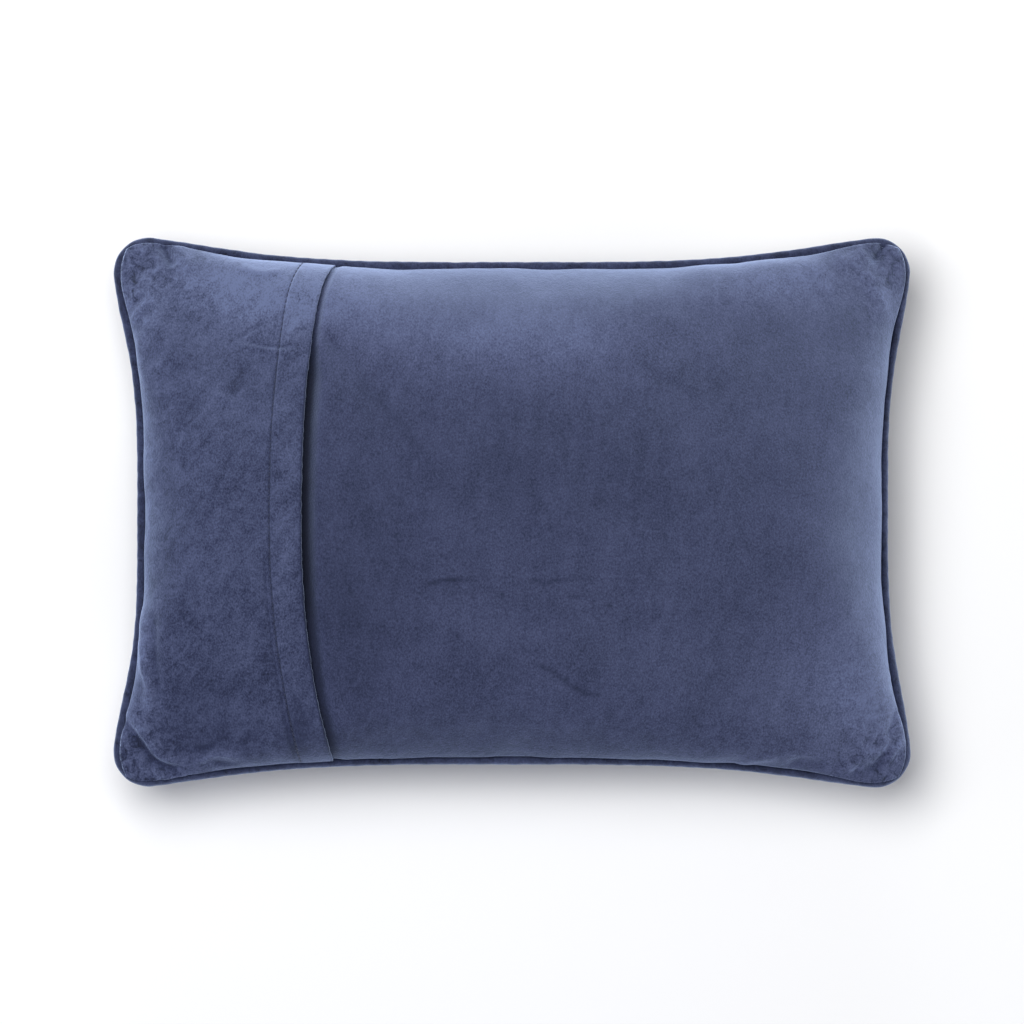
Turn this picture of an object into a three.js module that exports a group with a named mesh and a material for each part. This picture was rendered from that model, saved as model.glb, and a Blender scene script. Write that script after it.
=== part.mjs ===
// A piped lumbar pillow, lying on its needlepoint front with the velvet back up.
// Millimetres, +Z up. X runs along the length, Y across it, and Z = 0 is the surface it lies on.
// The back is two velvet panels: a main one, and a hemmed flap that laps over it on the left.
import * as THREE from 'three';

// Outer edge of the pillow, out to the piping, before the filling draws its sides in.
const OUTLINE = { halfLength: 250.6, halfWidth: 173.9, cornerRadius: 25.2 };

// How the filling draws each side in: the depth at the middle, how far along the side the
// deepest point lies from the centre, and the two powers that round the curve off.
const DRAW_IN = {
  left: { depth: 15.7, along: 0.3, inner: 4.1, outer: 4.0 },
  right: { depth: 14.9, along: 1.3, inner: 3.6, outer: 3.4 },
  top: { depth: 16.9, along: 0.2, inner: 3.9, outer: 2.1 },
  bottom: { depth: 15.9, along: -3.3, inner: 3.6, outer: 1.9 },
};

// Heights: the seam all round, its droop at the corners, and the crown on each side of it.
const SEAM_HEIGHT = 55;
const CORNER_DROOP = 5;
const CROWN_BACK = 65;
const CROWN_FRONT = 58.5;
const CROWN_POWER = { along: 3, across: 2.8, both: 0.5 };

// Piping cord, cloth thicknesses, and the small clearances between the pieces.
const PIPING_RADIUS = 3.2;
const PIPING_GAP = 0.6;
const CLOTH_GAP = 0.4;
const FLAP_GAP = 0.5;
const CANVAS_THICKNESS = 2.5;
const VELVET_THICKNESS = 1.8;
const HEM_THICKNESS = 3.2;

// The panels' sewn edge lies this far inside the outline, and the flap leaves it at this slope.
const SEAM_INSET = 2 * PIPING_RADIUS + PIPING_GAP;
const RIM_SLOPE = { out: 0.35, up: 0.94 };

// The flap's free edge, measured from the centre line of the back, and the width of its hem.
// The edge bows away from the left side towards both ends and hooks a little at the top seam.
const FLAP_EDGE = {
  middle: -140,
  top: { bow: 22, power: 2.1, hook: 8 },
  bottom: { bow: 28, power: 2.2, hook: 0 },
  hookPower: 24,
};
const HEM_WIDTH = 21;

// Main folds of the back: each runs between two points of the plan, with its half width and its
// height, which is negative for a trough.
const FOLDS = [
  { name: 'ear fold, lower left', from: [-238, -104], to: [-224, -140], width: 11, height: -5 },
  { name: 'ear fold, foot', from: [-224, -140], to: [-214, -158], width: 10, height: -4 },
  { name: 'ear ridge, lower left', from: [-222, -96], to: [-205, -138], width: 14, height: 2 },
  { name: 'tuck, upper left', from: [-222, 158], to: [-206, 138], width: 8, height: -3 },
  { name: 'trough beside the flap', from: [-112, 106], to: [-66, 54], width: 22, height: -3 },
  { name: 'ridge over the hem', from: [-172, 106], to: [-134, 100], width: 7, height: 1.6 },
  { name: 'tuck, lower right', from: [234, -128], to: [206, -112], width: 9, height: -3.5 },
  { name: 'tuck, upper right', from: [228, 158], to: [208, 134], width: 9, height: -3 },
  { name: 'dent above the lower seam', from: [-40, -150], to: [-28, -128], width: 12, height: -2.5 },
  { name: 'dent above the lower seam, right', from: [70, -150], to: [80, -126], width: 13, height: -2.5 },
  { name: 'dent on the left side', from: [-232, 20], to: [-206, 16], width: 11, height: -3 },
  { name: 'dent on the left side, low', from: [-232, -44], to: [-206, -38], width: 12, height: -3 },
  { name: 'dent on the right side', from: [232, 10], to: [206, 6], width: 13, height: -3 },
];
const FOLD_FADE = 14;

// How finely the surfaces are divided, and how much finer they are towards the seam.
const COLUMNS = { flap: 10, hem: 3, main: 29 };
const ROWS = 28;
const COLUMN_EASE = 0.45;
const ROW_EASE = 0.38;
const PIPING_STEPS = 200;
const PIPING_SIDES = 8;

const SEAM_HALF_LENGTH = OUTLINE.halfLength - SEAM_INSET;
const EDGE_COLUMN = COLUMNS.flap + COLUMNS.hem;
const LAST_COLUMN = EDGE_COLUMN + COLUMNS.main;

const COLORS = { velvet: 0x4b5474, flap: 0x525c7c, piping: 0x2e3554, needlepoint: 0x39456b };

// Share of a side's draw-in at a place along it, from 1 at the deepest point to 0 at the corners.
function drawShare(place, half, side) {
  const reach = Math.abs(place - side.along) / half;
  if (reach >= 1) return 0;
  return (1 - reach ** side.inner) ** side.outer;
}

// Bends the corner square of a rectangle, ring by ring, to a quarter disc, so that it is round.
function roundCorner(x, y, halfX, halfY, radius) {
  const cornerX = (Math.abs(x) - halfX + radius) / radius;
  const cornerY = (Math.abs(y) - halfY + radius) / radius;
  if (cornerX <= 0 || cornerY <= 0) return [x, y];
  const ring = Math.max(cornerX, cornerY);
  const turn = Math.PI / 4 * Math.min(cornerX, cornerY) / ring;
  const longer = radius * ring * Math.cos(turn) - radius;
  const shorter = radius * ring * Math.sin(turn) - radius;
  const [alongX, alongY] = cornerX > cornerY ? [longer, shorter] : [shorter, longer];
  return [Math.sign(x) * (halfX + alongX), Math.sign(y) * (halfY + alongY)];
}

// Plan position of the point (u, v) of a panel, both from -1 to 1, at an inset from the outline.
function planPoint(u, v, inset) {
  const halfX = OUTLINE.halfLength - inset;
  const halfY = OUTLINE.halfWidth - inset;
  const [x, y] = roundCorner(u * halfX, v * halfY, halfX, halfY, OUTLINE.cornerRadius - inset);
  const sideX = x < 0 ? DRAW_IN.left : DRAW_IN.right;
  const sideY = y < 0 ? DRAW_IN.bottom : DRAW_IN.top;
  const drawX = sideX.depth * drawShare(y, OUTLINE.halfWidth, sideX);
  const drawY = sideY.depth * drawShare(x, OUTLINE.halfLength, sideY);
  return new THREE.Vector2(x * (1 - drawX / halfX), y * (1 - drawY / halfY));
}

function seamHeight(u, v) {
  return SEAM_HEIGHT - CORNER_DROOP * Math.abs(u * v) ** 3;
}

// Height of the crown as a share of its full height: 1 in the middle, 0 all along the seam.
function crownShare(u, v) {
  const along = 1 - Math.abs(u) ** CROWN_POWER.along;
  const across = 1 - Math.abs(v) ** CROWN_POWER.across;
  return Math.max(along * across, 0) ** CROWN_POWER.both;
}

// Distance in plan from a point to the straight run between two others.
function distanceToSegment(point, from, to) {
  const start = new THREE.Vector2(...from);
  const run = new THREE.Vector2(...to).sub(start);
  const share = THREE.MathUtils.clamp(point.clone().sub(start).dot(run) / run.lengthSq(), 0, 1);
  return point.distanceTo(start.addScaledVector(run, share));
}

// Sum of the folds at a plan point, faded out towards the seam.
function foldHeight(point, rise) {
  let sum = 0;
  for (const fold of FOLDS) {
    const reach = distanceToSegment(point, fold.from, fold.to) / fold.width;
    sum += fold.height * Math.exp(-reach * reach);
  }
  return sum * Math.min(rise / FOLD_FADE, 1);
}

function backPoint(u, v) {
  const plan = planPoint(u, v, SEAM_INSET);
  const rise = CROWN_BACK * crownShare(u, v);
  const z = seamHeight(u, v) + CLOTH_GAP + rise + foldHeight(plan, rise);
  return new THREE.Vector3(plan.x, plan.y, z);
}

// The front bulges down to the surface that the pillow lies on and is pressed flat there.
function frontPoint(u, v) {
  const plan = planPoint(u, v, SEAM_INSET);
  const z = seamHeight(u, v) - CROWN_FRONT * crownShare(u, v);
  return new THREE.Vector3(plan.x, plan.y, Math.max(z, 0));
}

// Where the flap's free edge crosses a row of the back.
function flapEdge(v) {
  const end = v < 0 ? FLAP_EDGE.bottom : FLAP_EDGE.top;
  const bow = end.bow * Math.abs(v) ** end.power + end.hook * Math.abs(v) ** FLAP_EDGE.hookPower;
  return (FLAP_EDGE.middle + bow) / SEAM_HALF_LENGTH;
}

// Steps that start small at the seam and grow inwards, so that the steep edge is well divided.
function easeFromSeam(share) {
  return share * (1 - COLUMN_EASE + COLUMN_EASE * share);
}

// The columns follow the hem's stitch line and the flap's free edge.
function columnPlace(column, v) {
  const edge = flapEdge(v);
  const stitches = edge - HEM_WIDTH / SEAM_HALF_LENGTH;
  if (column <= COLUMNS.flap) {
    return THREE.MathUtils.lerp(-1, stitches, easeFromSeam(column / COLUMNS.flap));
  }
  if (column <= EDGE_COLUMN) {
    return THREE.MathUtils.lerp(stitches, edge, (column - COLUMNS.flap) / COLUMNS.hem);
  }
  return THREE.MathUtils.lerp(1, edge, easeFromSeam((LAST_COLUMN - column) / COLUMNS.main));
}

function rowPlace(row) {
  const share = 2 * row / ROWS - 1;
  return (1 - ROW_EASE) * share + ROW_EASE * Math.sin(share * Math.PI / 2);
}

// A surface is rows of points, from the bottom seam to the top one, each from left to right.
function surface(pointAt) {
  const rows = [];
  for (let row = 0; row <= ROWS; row++) {
    const v = rowPlace(row);
    const points = [];
    for (let column = 0; column <= LAST_COLUMN; column++) points.push(pointAt(columnPlace(column, v), v));
    rows.push(points);
  }
  return rows;
}

// Upward normal of a surface at one of its points, from the neighbours along and across.
function surfaceNormal(rows, row, column) {
  const clampRow = (index) => THREE.MathUtils.clamp(index, 0, rows.length - 1);
  const clampColumn = (index) => THREE.MathUtils.clamp(index, 0, rows[0].length - 1);
  const along = rows[row][clampColumn(column + 1)].clone().sub(rows[row][clampColumn(column - 1)]);
  const across = rows[clampRow(row + 1)][column].clone().sub(rows[clampRow(row - 1)][column]);
  return along.cross(across).normalize();
}

// The rim of a surface as row and column pairs, anticlockwise seen from above.
function rimLoop(rowCount, columnCount) {
  const loop = [];
  for (let column = 0; column < columnCount - 1; column++) loop.push([0, column]);
  for (let row = 0; row < rowCount - 1; row++) loop.push([row, columnCount - 1]);
  for (let column = columnCount - 1; column > 0; column--) loop.push([rowCount - 1, column]);
  for (let row = rowCount - 1; row > 0; row--) loop.push([row, 0]);
  return loop;
}

// Outward directions in plan of the points along a surface's rim. Points inside it have none.
function rimDirections(rows) {
  const directions = rows.map((points) => points.map(() => null));
  const loop = rimLoop(rows.length, rows[0].length);
  loop.forEach(([row, column], index) => {
    const [rowBefore, columnBefore] = loop.at(index - 1);
    const [rowAfter, columnAfter] = loop[(index + 1) % loop.length];
    const run = rows[rowAfter][columnAfter].clone().sub(rows[rowBefore][columnBefore]);
    directions[row][column] = new THREE.Vector3(run.y, -run.x, 0).normalize();
  });
  return directions;
}

// The back, moved out by a distance. At the rim it runs up over the piping instead.
function raised(rows, distanceAt) {
  const outward = rimDirections(rows);
  return rows.map((points, row) => points.map((point, column) => {
    let direction = outward[row][column]?.multiplyScalar(RIM_SLOPE.out).setZ(RIM_SLOPE.up);
    direction ??= surfaceNormal(rows, row, column);
    return point.clone().addScaledVector(direction, distanceAt(column));
  }));
}

// The front, moved inwards by a distance. At the rim it goes straight in, and up by a lift.
function hollowed(rows, distance, lift) {
  const outward = rimDirections(rows);
  return rows.map((points, row) => points.map((point, column) => {
    const rim = outward[row][column];
    if (rim) return point.clone().addScaledVector(rim, -distance).setZ(point.z + lift);
    return point.clone().addScaledVector(surfaceNormal(rows, row, column), distance);
  }));
}

// The two triangles of a cell. Its diagonal points at the pillow's nearest corner.
function cellTriangles(row, column) {
  const a = [row, column];
  const b = [row, column + 1];
  const c = [row + 1, column + 1];
  const d = [row + 1, column];
  const rising = (row < ROWS / 2) === (column < LAST_COLUMN / 2);
  return rising ? [[a, b, c], [a, c, d]] : [[a, b, d], [b, c, d]];
}

// The closed solid between an upper and a lower surface, with a narrow wall along the rim.
function solidBetween(upper, lower) {
  const rowCount = upper.length;
  const columnCount = upper[0].length;
  const upperIndex = ([row, column]) => row * columnCount + column;
  const lowerIndex = (place) => rowCount * columnCount + upperIndex(place);
  const faces = [];
  for (let row = 0; row < rowCount - 1; row++) {
    for (let column = 0; column < columnCount - 1; column++) {
      for (const [first, second, third] of cellTriangles(row, column)) {
        faces.push(upperIndex(first), upperIndex(second), upperIndex(third));
        faces.push(lowerIndex(first), lowerIndex(third), lowerIndex(second));
      }
    }
  }
  const loop = rimLoop(rowCount, columnCount);
  loop.forEach((place, index) => {
    const next = loop[(index + 1) % loop.length];
    faces.push(lowerIndex(place), lowerIndex(next), upperIndex(next));
    faces.push(lowerIndex(place), upperIndex(next), upperIndex(place));
  });
  const geometry = new THREE.BufferGeometry().setFromPoints([...upper.flat(), ...lower.flat()]);
  geometry.setIndex(faces);
  geometry.computeVertexNormals();
  return geometry;
}

// The piping's centre line, once round the outline, with its corners on the corner squares.
class PipingPath extends THREE.Curve {
  getPoint(share, target = new THREE.Vector3()) {
    const place = (share % 1) * 4;
    const along = (place % 1) * 2 - 1;
    const [u, v] = [[along, -1], [1, along], [-along, 1], [-1, -along]][Math.floor(place)];
    const plan = planPoint(u, v, PIPING_RADIUS);
    return target.set(plan.x, plan.y, seamHeight(u, v));
  }
}

function pipingGeometry() {
  const path = new PipingPath();
  path.arcLengthDivisions = 8 * PIPING_STEPS;
  return new THREE.TubeGeometry(path, PIPING_STEPS, PIPING_RADIUS, PIPING_SIDES, true);
}

function cloth(name, geometry, color, roughness) {
  const mesh = new THREE.Mesh(geometry, new THREE.MeshStandardMaterial({ color, roughness, metalness: 0 }));
  mesh.name = name;
  return mesh;
}

// The flap covers the back's columns up to its free edge, and is thicker across its hem.
function flapGeometry(back) {
  const thickness = (column) => (column > COLUMNS.flap ? HEM_THICKNESS : VELVET_THICKNESS);
  const covered = (points) => points.slice(0, EDGE_COLUMN + 1);
  const under = raised(back, () => FLAP_GAP).map(covered);
  const over = raised(back, (column) => FLAP_GAP + thickness(column)).map(covered);
  return solidBetween(over, under);
}

function pillow() {
  const back = surface(backPoint);
  const front = surface(frontPoint);
  const frontInside = hollowed(front, CANVAS_THICKNESS, 0);
  const fillingUnderside = hollowed(front, CANVAS_THICKNESS + CLOTH_GAP, CLOTH_GAP);
  const group = new THREE.Group();
  group.add(cloth('cushion', solidBetween(back, fillingUnderside), COLORS.velvet, 0.9));
  group.add(cloth('flap_panel', flapGeometry(back), COLORS.flap, 0.9));
  group.add(cloth('front_panel', solidBetween(frontInside, front), COLORS.needlepoint, 0.95));
  group.add(cloth('piping', pipingGeometry(), COLORS.piping, 0.9));
  return group;
}

// The whole is centred over the origin.
function centred(group) {
  const centre = new THREE.Box3().setFromObject(group).getCenter(new THREE.Vector3());
  group.position.set(-centre.x, -centre.y, 0);
  return group;
}

export default centred(pillow());
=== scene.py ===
"""A piped lumbar pillow that lies on its needlepoint front with its velvet back up.

Shapes are worked out in millimetres on grids of u, across the length, and v, across the width,
both from -1 at one seam to 1 at the other, and are put into meshes in metres. The two panels are
sewn and filled by a cloth simulation. The flap, the stitches and the piping are built on them.
"""

import bpy
import numpy as np
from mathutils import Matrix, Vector


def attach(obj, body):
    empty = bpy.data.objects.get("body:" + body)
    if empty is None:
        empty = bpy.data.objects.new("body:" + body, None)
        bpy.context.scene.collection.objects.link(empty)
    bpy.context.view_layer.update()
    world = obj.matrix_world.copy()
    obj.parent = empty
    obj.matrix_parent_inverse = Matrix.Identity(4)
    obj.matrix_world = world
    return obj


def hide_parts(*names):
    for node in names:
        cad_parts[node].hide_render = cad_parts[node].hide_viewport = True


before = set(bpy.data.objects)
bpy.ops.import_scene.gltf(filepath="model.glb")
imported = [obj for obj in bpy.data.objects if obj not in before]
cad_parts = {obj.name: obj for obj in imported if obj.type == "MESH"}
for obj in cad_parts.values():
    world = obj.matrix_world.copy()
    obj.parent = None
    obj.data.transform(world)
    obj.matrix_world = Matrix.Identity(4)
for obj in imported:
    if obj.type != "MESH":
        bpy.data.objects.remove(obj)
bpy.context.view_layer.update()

MM = 0.001

# The outline out to the piping, before the filling draws the sides in, and each side's draw-in:
# its depth, where the deepest point lies along the side, and the two powers of its curve.
OUTLINE = {"half_length": 250.6, "half_width": 173.9, "corner_radius": 25.2}
DRAW_IN = {
    "left": {"depth": 15.7, "along": 0.3, "inner": 4.1, "outer": 4.0},
    "right": {"depth": 14.9, "along": 1.3, "inner": 3.6, "outer": 3.4},
    "top": {"depth": 16.9, "along": 0.2, "inner": 3.9, "outer": 2.1},
    "bottom": {"depth": 15.9, "along": -3.3, "inner": 3.6, "outer": 1.9},
}

# Heights of the seam and of the crown on each side of it.
SEAM_HEIGHT = 55.0
CORNER_DROOP = 5.0
CROWN_BACK = 65.4
CROWN_FRONT = 58.5

# The cord, and the sewn edge of the panels: it lies on the cord's inner shoulder.
PIPING_RADIUS = 3.2
RIM_INSET = 5.3
RIM_LIFT = 2.9
TUCK_INSET = 7.4

# How far the filling presses the panels out over the cord beside the seam, more at the corners and
# unevenly, and the distances along the cloth within which it rises and fades.
OVERHANG = {
    "left": 1.3, "right": 1.8, "ends": 2.1, "corner": 3.9, "uneven": 0.9, "risen": 4.5, "fades": (6.0, 32.0),
}

# The flap: its free edge in plan, the profile of its hem by the distance from that edge, and how
# deep the main panel lies under it.
FLAP_EDGE = {
    "middle": -130.0,
    "top": {"bow": 13.9, "power": 2.2, "hook": 10.0},
    "bottom": {"bow": 19.0, "power": 2.3, "hook": 0.0},
    "hook_power": 20.0,
    "half_width": 156.0,
}
HEM_WIDTH = 20.4
HEM_RISE = 1.1
HEM_UNDERSIDE = -1.9
FLAP_UNDERSIDE = -1.7
EDGE_RADIUS = 0.6
EDGE_FUZZ = 0.3
STITCH_GROOVE = 1.1
COVERED_DEPTH = 2.6
UNDERCUT_DEPTH = 7.5
UNDERCUT_REACH = (1.0, 11.5)
UNDERSIDE_SETBACK = 1.3

# The cut panels, flat, from seam to seam, and the simulation that sews and fills them.
FLAT_HALF_LENGTH = 250.0
FLAT_HALF_WIDTH = 174.5
FLAT_CORNER_RADIUS = 24.0
SIMULATION = {
    "columns": 100, "rows": 70, "frames": 45, "drawn_by_frame": 20, "quality": 6, "pressure": 11.0,
    "stretch": 25.0, "shear": 8.0, "bending": 0.3, "seed": 3,
}

RELAXING = {"passes": 16, "share": 0.75, "passes at the rim": 3, "passes at the corners": 10}

CANVAS_THICKNESS = 2.5
CLOTH_GAP = 0.4


def smoothstep(start, end, values):
    share = np.clip((values - start) / (end - start), 0, 1)
    return share ** 2 * (3 - 2 * share)


def draw_share(place, half, side):
    """Share of a side's draw-in at a place along it: (1 - t ** inner) ** outer, with t the distance
    from the deepest point over the half length, and 0 past the corner."""
    reach = np.clip(np.abs(place - side["along"]) / half, 0.0, 1.0)
    return (1.0 - reach ** side["inner"]) ** side["outer"]


def round_corners(x, y, half_x, half_y, radius):
    """Bends each corner square of a rectangle, ring by ring, to a quarter disc: a point's larger
    share of the square is its ring, and the smaller share over the larger is its turn of 45 degrees."""
    corner_x = (np.abs(x) - half_x + radius) / radius
    corner_y = (np.abs(y) - half_y + radius) / radius
    inside = (corner_x > 0) & (corner_y > 0)
    ring = np.where(inside, np.maximum(corner_x, corner_y), 1.0)
    turn = np.pi / 4 * np.where(inside, np.minimum(corner_x, corner_y), 0.0) / ring
    longer = radius * ring * np.cos(turn) - radius
    shorter = radius * ring * np.sin(turn) - radius
    along_x = half_x + np.where(corner_x > corner_y, longer, shorter)
    along_y = half_y + np.where(corner_x > corner_y, shorter, longer)
    return np.where(inside, np.sign(x) * along_x, x), np.where(inside, np.sign(y) * along_y, y)


def plan_at(u, v, inset):
    """Plan position at (u, v), at an inset from the outline: the rounded rectangle, with x and y
    each shortened by the draw-in of the nearer side."""
    half_x = OUTLINE["half_length"] - inset
    half_y = OUTLINE["half_width"] - inset
    x, y = round_corners(u * half_x, v * half_y, half_x, half_y, OUTLINE["corner_radius"] - inset)
    left = DRAW_IN["left"]["depth"] * draw_share(y, OUTLINE["half_width"], DRAW_IN["left"])
    right = DRAW_IN["right"]["depth"] * draw_share(y, OUTLINE["half_width"], DRAW_IN["right"])
    bottom = DRAW_IN["bottom"]["depth"] * draw_share(x, OUTLINE["half_length"], DRAW_IN["bottom"])
    top = DRAW_IN["top"]["depth"] * draw_share(x, OUTLINE["half_length"], DRAW_IN["top"])
    drawn_x = x * (1.0 - np.where(x < 0, left, right) / half_x)
    drawn_y = y * (1.0 - np.where(y < 0, bottom, top) / half_y)
    return drawn_x, drawn_y


def seam_height(u, v):
    """The seam's height: it droops with the cube of |u * v| towards the corners."""
    return SEAM_HEIGHT - CORNER_DROOP * np.abs(u * v) ** 3


def grid(columns, rows):
    """u and v of a grid, as arrays of rows by columns."""
    return np.meshgrid(np.linspace(-1, 1, columns + 1), np.linspace(-1, 1, rows + 1))


def closing_up(share):
    """Places from -1 to 1, or 0 to 1, that lie closer together towards 1: s + 0.06 * (s - s ** 9)."""
    return share + 0.06 * (share - share ** 9)


def quads(index):
    """The faces of a grid of vertex numbers, facing up."""
    corners = (index[:-1, :-1], index[:-1, 1:], index[1:, 1:], index[1:, :-1])
    return np.stack(corners, axis=-1).reshape(-1, 4)


def rim_of(values):
    """The rim of a grid, once round, anticlockwise seen from above."""
    return np.concatenate([values[0, :-1], values[:-1, -1], values[-1, :0:-1], values[:0:-1, 0]])


def wall(lower, upper):
    """The faces between two closed loops of vertex numbers, one above the other."""
    corners = (lower, np.roll(lower, -1), np.roll(upper, -1), upper)
    return np.stack(corners, axis=-1)


def new_piece(name, points, faces):
    """An object made of points in millimetres and faces of four vertex numbers."""
    mesh = bpy.data.meshes.new(name)
    mesh.from_pydata((np.asarray(points).reshape(-1, 3) * MM).tolist(), [], np.asarray(faces).tolist())
    mesh.shade_smooth()
    mesh.update()
    piece = bpy.data.objects.new(name, mesh)
    bpy.context.scene.collection.objects.link(piece)
    return piece


def flat_panels():
    """The two cut panels face to face, as points, with a little unevenness from a fixed seed."""
    u, v = grid(SIMULATION["columns"], SIMULATION["rows"])
    x, y = round_corners(u * FLAT_HALF_LENGTH, v * FLAT_HALF_WIDTH,
                         FLAT_HALF_LENGTH, FLAT_HALF_WIDTH, FLAT_CORNER_RADIUS)
    inner = (np.abs(u) < 1) & (np.abs(v) < 1)
    uneven = np.random.default_rng(SIMULATION["seed"]).normal(0.6, 0.1, (2, *u.shape)) * inner
    back = np.stack([x, y, RIM_LIFT + uneven[0]], axis=-1)
    front = np.stack([x, y, -RIM_LIFT - uneven[1]], axis=-1)
    return back, front, ~inner


def sewn_to_outline(flat, rim):
    """The panel's points with its rim moved in to the seam line, where the filling holds it."""
    u, v = grid(SIMULATION["columns"], SIMULATION["rows"])
    x, y = plan_at(u, v, RIM_INSET)
    sewn = flat.copy()
    sewn[..., 0] = np.where(rim, x, flat[..., 0])
    sewn[..., 1] = np.where(rim, y, flat[..., 1])
    return sewn


def add_cloth(piece, pinned):
    """Cloth that pressure fills, held along its rims."""
    group = piece.vertex_groups.new(name="seam")
    group.add(pinned.tolist(), 1.0, "REPLACE")
    cloth = piece.modifiers.new("filling", "CLOTH")
    settings = cloth.settings
    settings.quality = SIMULATION["quality"]
    settings.mass = 0.3
    settings.tension_stiffness = SIMULATION["stretch"]
    settings.compression_stiffness = SIMULATION["stretch"]
    settings.shear_stiffness = SIMULATION["shear"]
    settings.bending_stiffness = SIMULATION["bending"]
    settings.tension_damping = 10
    settings.compression_damping = 10
    settings.shear_damping = 8
    settings.bending_damping = 1
    settings.air_damping = 3
    settings.vertex_group_mass = group.name
    settings.use_pressure = True
    settings.uniform_pressure_force = SIMULATION["pressure"]
    settings.effector_weights.gravity = 0
    cloth.collision_settings.use_collision = False
    cloth.collision_settings.use_self_collision = False
    cloth.point_cache.frame_start = 1
    cloth.point_cache.frame_end = SIMULATION["frames"]


def animate_sewing(piece, sewn):
    """A shape key moves the pinned rims from the flat cut to the seam line over the first frames."""
    piece.shape_key_add(name="flat")
    key = piece.shape_key_add(name="sewn")
    key.data.foreach_set("co", (sewn.reshape(-1) * MM).astype(np.float32))
    key.value = 0.0
    key.keyframe_insert("value", frame=1)
    key.value = 1.0
    key.keyframe_insert("value", frame=SIMULATION["drawn_by_frame"])
    for curve in piece.data.shape_keys.animation_data.action.fcurves:
        for point in curve.keyframe_points:
            point.interpolation = "LINEAR"


def simulated_points(piece, count):
    """Steps the simulation through its frames and returns the points in millimetres."""
    scene = bpy.context.scene
    for number in range(1, SIMULATION["frames"] + 1):
        scene.frame_set(number)
    evaluated = piece.evaluated_get(bpy.context.evaluated_depsgraph_get())
    points = np.zeros(count * 3, np.float32)
    evaluated.data.vertices.foreach_get("co", points)
    scene.frame_set(1)
    return points.reshape(-1, 3).astype(float) / MM


def sew_and_fill():
    """Both panels after sewing and filling, as two grids of points about the seam's own height."""
    back, front, rim = flat_panels()
    count = rim.size
    index = np.arange(count).reshape(rim.shape)
    flat = np.concatenate([back.reshape(-1, 3), front.reshape(-1, 3)])
    faces = np.concatenate([quads(index), quads(index + count)[:, ::-1],
                            wall(rim_of(index + count), rim_of(index))])
    piece = new_piece("filling_trial", flat, faces)
    sewn = np.concatenate([sewn_to_outline(back, rim).reshape(-1, 3), sewn_to_outline(front, rim).reshape(-1, 3)])
    animate_sewing(piece, sewn)
    add_cloth(piece, np.concatenate([index[rim], index[rim] + count]))
    points = simulated_points(piece, 2 * count)
    bpy.data.objects.remove(piece)
    return points[:count].reshape(*rim.shape, 3), points[count:].reshape(*rim.shape, 3)


def to_crown(panel, crown):
    """The panel's heights above the rim stretched to the crown's, and set on the seam's height."""
    u, v = grid(SIMULATION["columns"], SIMULATION["rows"])
    lift = np.sign(crown) * RIM_LIFT
    rise = (panel[..., 2] - lift) * (crown - lift) / (np.abs(panel[..., 2]).max() * np.sign(crown) - lift)
    return np.dstack([panel[..., 0], panel[..., 1], seam_height(u, v) + lift + rise])


def corner_share(u, v):
    """1 within 20 mm of a corner of the cloth, and 0 from 65 mm on."""
    away = np.hypot((1 - np.abs(u)) * FLAT_HALF_LENGTH, (1 - np.abs(v)) * FLAT_HALF_WIDTH)
    return 1 - smoothstep(20, 65, away)


def averaged(panel, axis):
    """The 1-2-1 average of each point with the two beside it."""
    return (np.roll(panel, 1, axis=axis) + 2 * panel + np.roll(panel, -1, axis=axis)) / 4


def relaxed(panel):
    """The panel with its puckers partly smoothed out along the cloth, as a washed cover relaxes:
    passes of a 1-2-1 average along u away from the side seams, and along v away from the others,
    blended with the panel, then a few passes everywhere. The rim stays as it is sewn."""
    u, v = grid(SIMULATION["columns"], SIMULATION["rows"])
    away_u = smoothstep(12, 55, (1 - np.abs(u)) * FLAT_HALF_LENGTH)[..., None]
    away_v = smoothstep(12, 55, (1 - np.abs(v)) * FLAT_HALF_WIDTH)[..., None]
    inner = ((np.abs(u) < 1) & (np.abs(v) < 1))[..., None]
    smooth = panel.copy()
    for _ in range(RELAXING["passes"]):
        smooth = smooth + (averaged(smooth, 1) - smooth) * away_u * inner
        smooth = smooth + (averaged(smooth, 0) - smooth) * away_v * inner
    smooth = panel + (smooth - panel) * RELAXING["share"]
    for _ in range(RELAXING["passes at the rim"]):
        smooth = np.where(inner, averaged(averaged(smooth, 1), 0), smooth)
    near_corner = corner_share(u, v)[..., None] * inner
    for _ in range(RELAXING["passes at the corners"]):
        smooth = smooth + (averaged(averaged(smooth, 1), 0) - smooth) * near_corner
    return smooth


def cubic(before, start, end, after, share):
    """Catmull-Rom curve between start and end."""
    bend = 2 * before - 5 * start + 4 * end - after
    swing = 3 * (start - end) + after - before
    return start + 0.5 * share * (end - before + share * (bend + share * swing))


def sample(panel, u, v):
    """A smooth surface through a grid of points, at any u and v: Catmull-Rom along and across."""
    last_row, last_column = panel.shape[0] - 1, panel.shape[1] - 1
    padded = np.pad(panel, ((1, 1), (1, 1), (0, 0)), mode="reflect", reflect_type="odd")
    column = (u + 1) / 2 * last_column
    row = (v + 1) / 2 * last_row
    first_column = np.clip(np.floor(column).astype(int), 0, last_column - 1)
    first_row = np.clip(np.floor(row).astype(int), 0, last_row - 1)
    share_column = (column - first_column)[..., None]
    share_row = (row - first_row)[..., None]
    lines = []
    for step in range(4):
        points = [padded[first_row + step, first_column + place] for place in range(4)]
        lines.append(cubic(*points, share_column))
    return cubic(*lines, share_row)


def to_linear(code):
    """An sRGB hex colour as linear red, green, blue and alpha."""
    channels = np.array([int(code[place:place + 2], 16) for place in (1, 3, 5)]) / 255
    linear = np.where(channels <= 0.04045, channels / 12.92, ((channels + 0.055) / 1.055) ** 2.4)
    return (*linear.tolist(), 1.0)


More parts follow.
